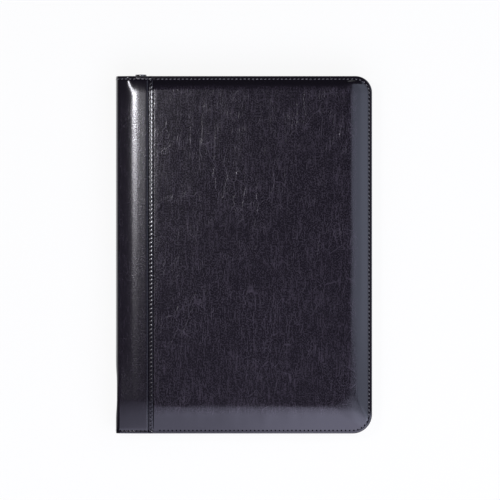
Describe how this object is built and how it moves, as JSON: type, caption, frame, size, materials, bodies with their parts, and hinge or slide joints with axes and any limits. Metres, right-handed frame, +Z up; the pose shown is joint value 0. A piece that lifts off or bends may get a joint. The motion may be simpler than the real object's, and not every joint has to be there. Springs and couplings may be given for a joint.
{
  "type": "padfolio",
  "caption": "Junior leather padfolio with a padded front cover, a soft spine strip, a writing pad in a pocket, card and file pockets, and a pen in an elastic loop.",
  "frame": {"origin": "on the table, under the middle of the closed cover", "axes": "+X from the spine to the fore-edge, +Y from the foot to the head of the page, +Z up out of the front cover"},
  "size_m": [0.164, 0.23, 0.0221],
  "materials": {
    "cover_leather": "black glazed leather with a fine vertical grain",
    "inner_leather": "matt black leatherette",
    "lining": "black woven lining",
    "elastic": "black ribbed elastic",
    "greyboard": "raw greyboard",
    "chipboard": "raw chipboard",
    "foam": "open-cell padding",
    "paper": "uncoated",
    "ruled_paper": "uncoated, ruled in pale blue",
    "binding_tape": "black gummed cloth-finish tape",
    "clear_vinyl": "clear flexible vinyl",
    "pen_lacquer": "black lacquer",
    "pen_metal": "polished plate",
    "spring_steel": "drawn wire",
    "cam_moulding": "white moulding",
    "refill_tube": "translucent tube",
    "refill_brass": "turned"
  },
  "bodies": {
    "back_cover": {"back_leather": "cover_leather", "back_board": "greyboard", "back_lining": "lining", "spine_strip_back": "cover_leather", "gutter_lining_back": "lining", "pad_pocket": "inner_leather", "pen_loop": "elastic"},
    "spine": {"spine_strip_middle": "cover_leather", "gutter_lining_middle": "lining"},
    "front_cover": {"spine_strip_front": "cover_leather", "gutter_lining_front": "lining", "front_leather": "cover_leather", "front_foam": "foam", "front_board": "greyboard", "front_lining": "lining", "file_pocket": "inner_leather", "card_pocket_upper": "inner_leather", "card_pocket_lower": "inner_leather", "id_pocket_frame": "inner_leather", "id_window": "clear_vinyl"},
    "writing_pad": {"pad_backing": "chipboard", "pad_paper": "paper", "pad_top_sheet": "ruled_paper", "pad_binding_tape": "binding_tape"},
    "pen": {"pen_nose_cone": "pen_metal", "pen_lower_barrel": "pen_lacquer", "pen_centre_ring": "pen_metal", "pen_upper_barrel": "pen_lacquer", "pen_crown": "pen_metal", "pen_clip": "pen_metal", "pen_spring": "spring_steel"},
    "plunger": {"pen_plunger": "pen_metal", "pen_cam": "cam_moulding"},
    "refill": {"pen_refill": "refill_tube", "pen_refill_tip": "refill_brass"}
  },
  "joints": [
    {"name": "spine_hinge", "type": "hinge", "parent": "back_cover", "child": "spine", "pos_m": [-0.07898, 0, 0.00302], "axis": [0, -1, 0], "range_deg": [0, 90]},
    {"name": "front_hinge", "type": "hinge", "parent": "spine", "child": "front_cover", "pos_m": [-0.07898, 0, 0.01908], "axis": [0, -1, 0], "range_deg": [0, 90]},
    {"name": "pad_slide", "type": "slide", "parent": "back_cover", "child": "writing_pad", "axis": [0, 1, 0], "range_m": [0, 0.21]},
    {"name": "pen_slide", "type": "slide", "parent": "back_cover", "child": "pen", "axis": [0, 1, 0], "range_m": [0, 0.15]},
    {"name": "pen_click", "type": "slide", "parent": "pen", "child": "plunger", "axis": [0, -1, 0], "range_m": [0, 0.0045], "stiffness_N_per_m": 400},
    {"name": "refill_slide", "type": "slide", "parent": "pen", "child": "refill", "axis": [0, -1, 0], "range_m": [0, 0.0045]}
  ],
  "couplings": [
    {"joint": "front_hinge", "follows": "spine_hinge", "ratio": 1},
    {"joint": "refill_slide", "follows": "pen_click", "ratio": 1}
  ]
}
